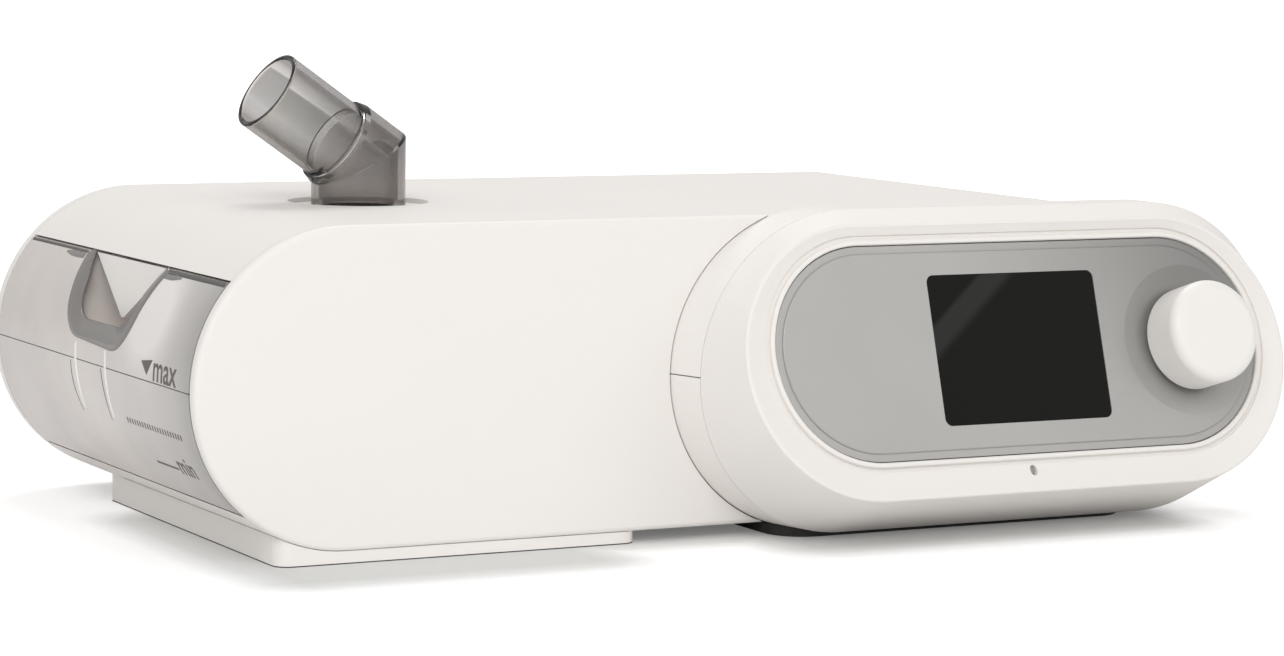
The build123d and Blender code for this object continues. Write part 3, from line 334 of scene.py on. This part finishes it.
# --- Materials --------------------------------------------------------------------------
def moulded(name, first, second, roughness, **fixed):
    """Moulded plastic: two close tones, uneven gloss and a fine spark-eroded grain."""
    material, shader, place = new_material(name)
    tone = spread(material, noise(material, place, scale=9.0), 0.0, 1.0)
    feed(material, shader.inputs["Base Color"], two_tone(material, tone, first, second))
    uneven_gloss(material, shader, place, roughness - PLASTIC_UNEVEN, roughness + PLASTIC_UNEVEN)
    fine_grain(material, shader, place, scale=1800.0, depth=0.012 * MM)
    for socket, value in fixed.items():
        shader.inputs[socket.replace("_", " ")].default_value = value
    return material


def panel_paint_and_shade():
    """Grey satin paint on the panel, with painted shade towards the upper right and a painted shadow
    under the knob.
    """
    material, shader, place = new_material("panel_paint_and_shade")
    # Painted shade towards the upper right corner, and a painted shadow under the knob.
    corner = spot(material, place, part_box("control_panel")[1], CORNER_SHADE_SIZE)
    low, high = (Vector(point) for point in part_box("control_knob"))
    knob_shadow_centre = Vector(((low.x + high.x) / 2, high.y, low.z + KNOB_SHADE_RISE))
    shade = spot(material, place, knob_shadow_centre, KNOB_SHADE_SIZE)
    corner = spread(material, corner, 0.0, 1.0, start=0.0, end=0.8)
    deep = combine(material, "MAXIMUM", corner, shade)
    feed(material, shader.inputs["Base Color"], two_tone(material, deep, PANEL_GREY, PANEL_PAINTED_SHADE))
    uneven_gloss(material, shader, place, low=0.32, high=0.40)
    fine_grain(material, shader, place, scale=2600.0, depth=0.006 * MM)
    shader.inputs["Metallic"].default_value = 0.2
    shader.inputs["Coat Weight"].default_value = 0.10
    return material


def display_glass_and_glare():
    """Polished black display glass with a faint slanting painted reflection and a few smears."""
    material, shader, place = new_material("display_glass_and_painted_glare")
    low, high = (Vector(point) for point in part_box("display_window"))
    # A painted reflection: a slanting band of lighter black across the glass.
    painted_glare = along(material, place, (low.x, high.y, high.z), PAINTED_GLARE_WAY)
    feed(material, shader.inputs["Base Color"], ramp(material, painted_glare, PAINTED_GLARE_TONES))
    uneven_gloss(
        material, shader, place, low=0.05, high=0.16, scale=45.0, detail=5.0, roughness=0.6
    )
    shader.inputs["Specular IOR Level"].default_value = 0.07
    return material


def clear_plastic(name, tint, roughness, transmission, haze):
    """Clear moulding with the colour that a tint function makes, and a little haze."""
    material, shader, place = new_material(name)
    feed(material, shader.inputs["Base Color"], tint(material, place))
    uneven_gloss(material, shader, place, roughness, roughness + haze, scale=55.0, detail=3.0)
    shader.inputs["Transmission Weight"].default_value = transmission
    shader.inputs["IOR"].default_value = PLASTIC_IOR
    return material


def tank_tint_and_shade(material, place):
    """Milky clear tank: greyer towards the front ring in a painted shade, with a milky patch under the
    latch.
    """
    depth = along(material, place, (0.0, tank_front, 0.0), (0.0, 1.0, 0.0))
    cloud = spread(material, noise(material, place, scale=42.0, detail=3.0), 0.0, 0.30)
    # The grey towards the front ring is painted shade.
    tone = two_tone(material, cloud, ramp(material, depth, TANK_SHADE_TONES), TANK_SHADE_AND_CLOUD_GREY)
    patch_depth, patch_angle = MILKY_PATCH
    middle = on_tank(tank_front + patch_depth, radians(patch_angle))
    patch = spot(material, place, middle, MILKY_PATCH_SIZE)
    patch = spread(material, patch, 0.0, 1.0, start=0.0, end=0.35)
    return two_tone(material, patch, tone, TANK_MILKY)


def smoke_tint(material, place):
    """Smoke-clear elbow: paler along the tube, deep at the bend, deeper where seen edge-on."""
    tone = ramp(material, along(material, place, elbow_bend, hose_axis), SMOKE_TONES)
    edge = add_node(material, "ShaderNodeLayerWeight", Blend=0.5)
    deep = spread(material, edge.outputs["Facing"], 0.0, 0.95, start=0.15, end=0.55)
    return two_tone(material, deep, tone, SMOKE_EDGE)


def brushed(name, color, roughness, metallic=1.0):
    """Metal with fine turned or drawn lines."""
    material, shader, place = new_material(name)
    stretch = add_node(material, "ShaderNodeMapping", Scale=(1.0, 1.0, METAL_LINE_STRETCH))
    feed(material, stretch.inputs["Vector"], place)
    lines = noise(material, stretch.outputs["Vector"], scale=420.0, detail=4.0)
    darker = tuple(channel * METAL_LINE_TONE for channel in color)
    tone = two_tone(material, spread(material, lines, 0.0, 1.0), color, darker)
    gloss = spread(material, lines, roughness - METAL_UNEVEN, roughness + METAL_UNEVEN)
    feed(material, shader.inputs["Base Color"], tone)
    feed(material, shader.inputs["Roughness"], gloss)
    bump(material, shader, lines, depth=0.01 * MM)
    shader.inputs["Metallic"].default_value = metallic
    return material


def foam(name, color):
    """Open filter foam with pores."""
    material, shader, place = new_material(name)
    cells = add_node(material, "ShaderNodeTexVoronoi", Scale=900.0)
    feed(material, cells.inputs["Vector"], place)
    dark = tuple(channel * FOAM_PORE_TONE for channel in color)
    pores = spread(material, cells.outputs["Distance"], 0.0, 1.0, start=0.1, end=0.6)
    feed(material, shader.inputs["Base Color"], two_tone(material, pores, dark, color))
    bump(material, shader, cells.outputs["Distance"], depth=0.3 * MM)
    shader.inputs["Roughness"].default_value = 0.95
    return material


def make_materials():
    """One material for each of the record's material slots."""
    return {
        "white_shell": moulded(
            "shell_plastic", SHELL_WHITE, SHELL_WHITE_WARM, 0.50, Specular_IOR_Level=0.28
        ),
        "white_knob": moulded("knob_plastic", KNOB_WHITE, SHELL_WHITE, 0.40, Specular_IOR_Level=0.40),
        "grey_panel": panel_paint_and_shade(),
        "display_black": display_glass_and_glare(),
        "sensor_window": moulded("sensor_plastic", (0.37, 0.36, 0.34), (0.33, 0.32, 0.31), 0.2),
        "smoke_clear": clear_plastic("smoke_plastic", smoke_tint, 0.02, 1.0, 0.03),
        "tank_clear": clear_plastic("tank_plastic_and_shade", tank_tint_and_shade, 0.30, 0.16, 0.06),
        "dark_rubber": moulded("foot_rubber", (0.055, 0.053, 0.050), (0.040, 0.039, 0.037), 0.72),
        "grey_silicone": moulded("seal_silicone", (0.36, 0.36, 0.35), (0.30, 0.30, 0.29), 0.6),
        "steel": brushed("drawn_steel", (0.58, 0.57, 0.55), 0.32),
        "heater_metal": brushed("turned_aluminium", (0.72, 0.72, 0.71), 0.36),
        "liner_grey": moulded("liner_plastic", (0.75, 0.74, 0.72), (0.70, 0.69, 0.67), 0.5),
        "black_plastic": moulded("socket_plastic", (0.030, 0.030, 0.030), (0.022, 0.022, 0.022), 0.45),
        "blower_grey": moulded("blower_plastic", (0.16, 0.16, 0.16), (0.13, 0.13, 0.13), 0.5),
        "motor_metal": brushed("motor_coating", (0.10, 0.10, 0.11), 0.45, 0.6),
        "board_green": moulded("board_mask", (0.03, 0.14, 0.06), (0.02, 0.10, 0.05), 0.35),
        "filter_foam": foam("grey_foam", (0.16, 0.16, 0.155)),
    }


def dress_nodes(materials):
    """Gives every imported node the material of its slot."""
    for part in frame["record"]["subparts"]:
        mesh = frame["nodes"][part["node"]].data
        mesh.materials.clear()
        mesh.materials.append(materials[part["material_slot"]])


# --- Mesh helpers -----------------------------------------------------------------------
def object_from(name, mesh, material):
    """A new object in the scene with a material."""
    piece = bpy.data.objects.new(name, mesh)
    bpy.context.scene.collection.objects.link(piece)
    piece.data.materials.clear()
    piece.data.materials.append(material)
    return piece


def mesh_from(name, builder):
    """A mesh with what a bmesh holds, which is then freed."""
    mesh = bpy.data.meshes.new(name)
    builder.to_mesh(mesh)
    builder.free()
    return mesh


def skin(name, rings, material, closed=False):
    """A solid through rings of points in the same order: capped at both ends, or closed round."""
    builder = bmesh.new()
    rings = [[builder.verts.new(point) for point in ring] for ring in rings]
    following = rings[1:] + rings[:1] if closed else rings[1:]
    for ring, other in zip(rings, following):
        for i in range(len(ring)):
            j = (i + 1) % len(ring)
            builder.faces.new((ring[i], ring[j], other[j], other[i]))
    if not closed:
        builder.faces.new(list(reversed(rings[0])))
        builder.faces.new(rings[-1])
    bmesh.ops.recalc_face_normals(builder, faces=builder.faces)
    mesh = mesh_from(name, builder)
    for face in mesh.polygons:
        face.use_smooth = not closed and len(face.vertices) == 4
    return object_from(name, mesh, material)


def flat_rectangles(name, rectangles, thickness, material):
    """Thin plates in one object, each from (x, y) of its low left corner, its width and height."""
    builder = bmesh.new()
    for x, y, width, height in rectangles:
        outline = [(x, y), (x + width, y), (x + width, y + height), (x, y + height)]
        low = [builder.verts.new((*corner, 0.0)) for corner in outline]
        high = [builder.verts.new((*corner, thickness)) for corner in outline]
        builder.faces.new(high)
        builder.faces.new(list(reversed(low)))
        for i in range(4):
            j = (i + 1) % 4
            builder.faces.new((low[i], low[j], high[j], high[i]))
    return object_from(name, mesh_from(name, builder), material)


def word(name, text, size, thickness, material):
    """Plain lettering as a mesh, with its low left corner at the origin."""
    curve = bpy.data.curves.new(name + "_curve", "FONT")
    curve.body = text
    curve.size = size
    curve.extrude = thickness / 2
    curve.offset = LETTER_WEIGHT
    curve.resolution_u = 3
    holder = bpy.data.objects.new(name + "_curve", curve)
    bpy.context.scene.collection.objects.link(holder)
    bpy.context.view_layer.update()
    graph = bpy.context.evaluated_depsgraph_get()
    mesh = bpy.data.meshes.new_from_object(holder.evaluated_get(graph))
    bpy.data.objects.remove(holder)
    bpy.data.curves.remove(curve)
    mesh.transform(Matrix.Translation((0, 0, thickness / 2)))
    return object_from(name, mesh, material)


def smooth_path(points, steps):
    """A smooth line of tuples through the given ones."""
    path = []
    for i in range(len(points) - 1):
        before, after = points[max(i - 1, 0)], points[min(i + 2, len(points) - 1)]
        four = list(zip(before, points[i], points[i + 1], after))
        path += [tuple(between(*values, step / steps) for values in four) for step in range(steps)]
    return path + [points[-1]]


def between(a, b, c, d, t):
    """A value at a share t of the way from b to c, on a smooth curve through a, b, c and d."""
    square = 2 * a - 5 * b + 4 * c - d
    cube = 3 * b - a - 3 * c + d
    return 0.5 * (2 * b + (c - a) * t + square * t**2 + cube * t**3)


# --- Trim and fill marks on the tank ----------------------------------------------------
# Places on the tank's round wall are a depth from its front and an angle round from its top.
def on_tank(y, angle, lift=0.0):
    """A point on the tank's wall, or lifted off it: y in metres, the angle in radians."""
    reach = body_radius + lift
    return Vector((axis_x - reach * sin(angle), y, axis_z + reach * cos(angle)))


def wrap_on_tank(piece, depth, angle):
    """Bends a flat piece round the tank, x forwards and y up, from a depth in mm and degrees."""
    shape = bmesh.new()
    shape.from_mesh(piece.data)
    for row in range(1, WRAP_ROWS + 1):
        parts = shape.verts[:] + shape.edges[:] + shape.faces[:]
        place = (0, row * WRAP_ROW, 0)
        bmesh.ops.bisect_plane(shape, geom=parts, plane_co=place, plane_no=(0, 1, 0))
    front, turn = tank_front + depth * MM, radians(angle)
    for vertex in shape.verts:
        across, rise, lift = vertex.co
        vertex.co = on_tank(front - across, turn - rise / body_radius, lift - WRAP_SINK)
    shape.to_mesh(piece.data)
    shape.free()


def tank_band(name, points, material, lift=0.02 * MM, steps=6):
    """A thin band on the tank's wall: (depth in mm, degrees, width in mm) at each point."""
    path = smooth_path(points, steps)
    columns = ceil(max(width for depth, angle, width in path) / BAND_COLUMN)
    sections = []
    for i, (depth, angle, width) in enumerate(path):
        last, following = path[max(i - 1, 0)], path[min(i + 1, len(path) - 1)]
        way = Vector((following[0] - last[0], radians(following[1] - last[1]) * body_radius / MM))
        way.normalize()
        side = []
        for column in range(columns + 1):
            across = width * (column / columns - 0.5)
            turn = degrees(way.x * across * MM / body_radius)
            side.append((tank_front + (depth - way.y * across) * MM, radians(angle + turn)))
        over = [on_tank(y, turned, lift) for y, turned in side]
        under = [on_tank(y, turned, lift - BAND_THICKNESS) for y, turned in reversed(side)]
        sections.append(over + under)
    return skin(name, sections, material)


def pocket_edge(steps=20):
    """The finger pocket's edge seen from the left, as (point, inward direction) pairs of (y, z)."""
    middle = tank_front + POCKET_MIDDLE
    low = POCKET_TOP - POCKET_TALL
    upper_corner = Vector((middle + POCKET_HALF_TOP, POCKET_TOP))
    lower_corner = Vector((middle + POCKET_HALF_LOW, low))
    lean = (upper_corner - lower_corner).normalized().angle(Vector((1.0, 0.0)))
    run = POCKET_CORNER * tan(lean / 2)
    edge = []
    for side in (1, -1):
        corner = Vector((middle + side * POCKET_HALF_LOW, low))
        centre = corner + Vector((-side * run, POCKET_CORNER))
        arc = []
        for step in range(steps + 1):
            turn = lean * step / steps
            inward = Vector((-side * sin(lean - turn), cos(lean - turn)))
            arc.append((centre - inward * POCKET_CORNER, inward))
        start = Vector((middle + side * (POCKET_HALF_TOP - POCKET_TRIM), tank_top))
        flank = [(start.lerp(arc[0][0], step / steps), arc[0][1]) for step in range(steps)]
        half = flank + arc
        edge += half if side == 1 else list(reversed(half))
    return edge


def add_pocket_lip(material):
    """The bevelled edge of the finger pocket, narrow beside the latch's upper corners, in a dark grey
    that is painted shade for the dark of the clear rolled edge.
    """
    sections = []
    middle = tank_front + POCKET_MIDDLE
    under_inside, under_edge, under_outside = LIP_UNDERSIDE
    for point, inward in pocket_edge():
        taper = min(1.0, LIP_TAPER_SHARE + (tank_top - point.y) / LIP_TAPER)
        flange = LIP_FLANGE_FRONT if point.x < middle else LIP_FLANGE_BACK
        flange *= min(1.0, LIP_FLANGE_SHARE + abs(point.x - middle) / POCKET_HALF_LOW)
        section = []
        for reach, depth in (
            (-flange, -LIP_LIFT),
            (0.0, -LIP_LIFT),
            (LIP_WIDTH * taper, LIP_DIP * taper),
            (LIP_WIDTH * taper, under_inside * taper),
            (0.0, under_edge * taper),
            (-flange, under_outside * taper),
        ):
            y, z = point + inward * reach
            section.append((axis_x - (body_radius**2 - (z - axis_z) ** 2) ** 0.5 + depth, y, z))
        sections.append(section)
    return skin("pocket_lip", sections, material)


def add_parting_line(seam_and_shade):
    """The line between lid and tub, along the whole tank."""
    ends = [(0.2, 90.0, 0.4), (tank_length - 0.2, 90.0, 0.4)]
    return tank_band("parting_line", ends, seam_and_shade, lift=0.0, steps=20)


def add_ribs(milky, seam_and_shade):
    """Two upright ribs in the tub, each with a dark line beside it."""
    return [
        tank_band("rib_line_back", [(84.3, 91.0, 0.5), (83.5, 99.9, 0.55), (80.7, 109.9, 0.3)], seam_and_shade),
        tank_band("rib_line_front", [(61.6, 90.8, 0.5), (60.2, 99.8, 0.55), (59.1, 109.9, 0.3)], seam_and_shade),
        tank_band("rib_back", [(81.2, 83.6, 1.6), (80.4, 96.0, 2.2), (78.7, 109.0, 1.4)], milky),
        tank_band("rib_front", [(59.1, 83.6, 1.4), (58.2, 96.0, 1.9), (57.2, 109.0, 1.2)], milky),
    ]


def add_upper_shades(seam_and_shade, lip_shade):
    """Painted shade: dark bands under the window's upper edge, and beside the pocket's upper corners.
    """
    front = [(0.2, 49.6, 1.4), (39.0, 49.6, 1.4)]
    back = [(97.5, 49.4, 0.9), (tank_length - 0.2, 49.4, 0.9)]
    return [
        # Painted shade under the housing's window edge, and beside the pocket's upper corners.
        tank_band("window_shade_front", front, seam_and_shade, steps=20),
        tank_band("window_shade_back", back, seam_and_shade, steps=20),
        tank_band("hinge_shade_front", [(27.5, 51.2, 0.4), (33.0, 51.3, 2.0), (39.0, 51.2, 2.0)], lip_shade),
        tank_band("hinge_shade_back", [(97.8, 51.2, 2.0), (106.0, 51.3, 2.0), (112.0, 51.2, 0.6)], lip_shade),
    ]


def add_fill_marks(ink):
    """The upper mark with its arrow, a row of ticks, and the lower mark with its line."""
    arrow = tank_band("max_arrow", [(29.0, 82.7, 7.7), (28.6, 87.9, 0.15)], ink)
    letters = word("max_word", "max", MAX_WORD_SIZE, BAND_THICKNESS, ink)
    wrap_on_tank(letters, depth=24.6, angle=89.1)
    ticks = [(i * TICK_PITCH, 0.0, TICK_WIDTH, TICK_HEIGHT) for i in range(TICKS)]
    scale_marks = flat_rectangles("scale_ticks", ticks, BAND_THICKNESS, ink)
    wrap_on_tank(scale_marks, depth=46.9, angle=108.4)
    bar = [(0.0, 0.0, LOW_LINE_LENGTH, LOW_LINE_HEIGHT)]
    line = flat_rectangles("low_line", bar, BAND_THICKNESS, ink)
    wrap_on_tank(line, depth=37.5, angle=123.0)
    low = word("min_word", "min", MIN_WORD_SIZE, BAND_THICKNESS, ink)
    wrap_on_tank(low, depth=21.6, angle=124.0)
    return [arrow, letters, scale_marks, line, low]


def add_tank_pieces():
    """The tank's pocket lip, parting line, ribs, shades and fill marks."""
    ink = moulded("mark_ink", MARK_GREY, MARK_GREY, 0.5)
    seam_and_shade = moulded("seam_shade", SEAM_AND_SHADE_GREY, SEAM_AND_SHADE_GREY, 0.5)
    lip_shade = moulded("lip_shade_plastic", RIM_SHADE_GREY, LIP_SHADE_GREY, 0.3)
    milky = moulded("rib_plastic", RIB_WHITE, RIB_WHITE, 0.3)
    pieces = [add_pocket_lip(lip_shade), add_parting_line(seam_and_shade)]
    pieces += add_ribs(milky, seam_and_shade) + add_upper_shades(seam_and_shade, lip_shade) + add_fill_marks(ink)
    for piece in pieces:
        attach(piece, "tank")


# --- Pad under the pedestal -------------------------------------------------------------
def rounded_ring(low, high, inset, z):
    """A rounded rectangle of points at a height, set in from a box's sides."""
    radius = max(PAD_CORNER - inset, PAD_INNER_CORNER)
    ring = []
    for corner, (right, back) in enumerate(((1, 0), (1, 1), (0, 1), (0, 0))):
        centre_x = (high.x - inset - radius) if right else (low.x + inset + radius)
        centre_y = (high.y - inset - radius) if back else (low.y + inset + radius)
        for step in range(PAD_STEPS + 1):
            turn = radians(90.0 * (corner - 1) + 90.0 * step / PAD_STEPS)
            ring.append((centre_x + radius * cos(turn), centre_y + radius * sin(turn), z))
    return ring


def add_pedestal_pad(material):
    """A thin dark pad under the pedestal's rim."""
    low, high = (Vector(corner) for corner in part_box("humidifier_base"))
    corners = ((0.0, low.z), (0.0, PAD_LIFT), (PAD_WIDTH, PAD_LIFT), (PAD_WIDTH, low.z))
    rings = [rounded_ring(low, high, inset, z) for inset, z in corners]
    piece = skin("pedestal_pad", rings, material, closed=True)
    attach(piece, "housing")


# --- Stage, lights and camera -----------------------------------------------------------
def floor_material():
    """White, with soft painted shadows at the object's foot and a glow, which only the camera sees."""
    material, shader, place = new_material("floor_white")
    shade = 0.0
    for low, high in FLOOR_PAINTED_SHADOWS:
        box = soft_box(material, place, Vector(low) * MM, Vector(high) * MM, SHADE_BLUR)
        shade = combine(material, "MAXIMUM", shade, box)
    camera_ray = add_node(material, "ShaderNodeLightPath").outputs["Is Camera Ray"]
    shade = combine(material, "MULTIPLY", shade, camera_ray)
    feed(material, shader.inputs["Base Color"], two_tone(material, shade, FLOOR_COLOR, FLOOR_PAINTED_SHADOW_COLOR))
    near = spot(material, place, (0.0, 0.0, 0.0), (FLOOR_GLOW_REACH,) * 3)
    glow = spread(material, near, FLOOR_GLOW_FAR, FLOOR_GLOW, start=0.0, end=0.5)
    left = spread(material, shade, 1.0, SHADE_GLOW, start=0.0, end=0.6)
    glow = combine(material, "MULTIPLY", glow, left)
    seen = combine(material, "MULTIPLY", camera_ray, glow)
    feed(material, shader.inputs["Emission Strength"], seen)
    shader.inputs["Emission Color"].default_value = WHITE
    shader.inputs["Roughness"].default_value = 0.9
    shader.inputs["Specular IOR Level"].default_value = 0.1
    return material


def add_floor():
    """A large floor in the plane that the object stands on."""
    bpy.ops.mesh.primitive_plane_add(size=FLOOR_SIZE, location=(0.0, 0.0, 0.0))
    floor = bpy.context.object
    floor.name = "floor"
    floor.data.materials.append(floor_material())


def light_world():
    """A white surround for the camera and through clear plastic, and a softer one as a light."""
    world = bpy.data.worlds.new("studio")
    bpy.context.scene.world = world
    world.use_nodes = True
    background = world.node_tree.nodes["Background"]
    background.inputs["Color"].default_value = WHITE
    ray = add_node(world, "ShaderNodeLightPath").outputs
    seen = combine(world, "MAXIMUM", ray["Is Camera Ray"], ray["Is Transmission Ray"])
    level = spread(world, seen, WORLD_LIGHT, 1.0, start=0.0, end=1.0)
    feed(world, background.inputs["Strength"], level)


def add_lamp(name, place, width, height, power):
    """A soft rectangular lamp that points at the object."""
    data = bpy.data.lights.new(name, "AREA")
    data.shape = "RECTANGLE"
    data.size = width
    data.size_y = height
    data.energy = power
    lamp = bpy.data.objects.new(name, data)
    bpy.context.scene.collection.objects.link(lamp)
    lamp.location = place
    way = Vector(LAMP_TARGET) - Vector(place)
    lamp.rotation_euler = way.to_track_quat("-Z", "Y").to_euler()


def add_camera():
    """The camera, placed and then turned by yaw, pitch and roll."""
    data = bpy.data.cameras.new("camera")
    data.sensor_width = CAMERA_SENSOR
    data.lens = CAMERA_LENS
    data.clip_start = CAMERA_NEAR
    data.clip_end = CAMERA_FAR
    camera = bpy.data.objects.new("camera", data)
    bpy.context.scene.collection.objects.link(camera)
    level = Euler((radians(90.0 - CAMERA_PITCH), 0.0, -radians(CAMERA_YAW))).to_matrix()
    turned = level @ Matrix.Rotation(radians(CAMERA_ROLL), 3, "Z")
    camera.matrix_world = Matrix.Translation(CAMERA_PLACE) @ turned.to_4x4()
    bpy.context.scene.camera = camera


finishes = make_materials()
dress_nodes(finishes)
add_tank_pieces()
add_pedestal_pad(finishes["dark_rubber"])
add_floor()
light_world()
for lamp_settings in LAMPS:
    add_lamp(*lamp_settings)
add_camera()
bpy.context.scene.view_settings.view_transform = "Standard"
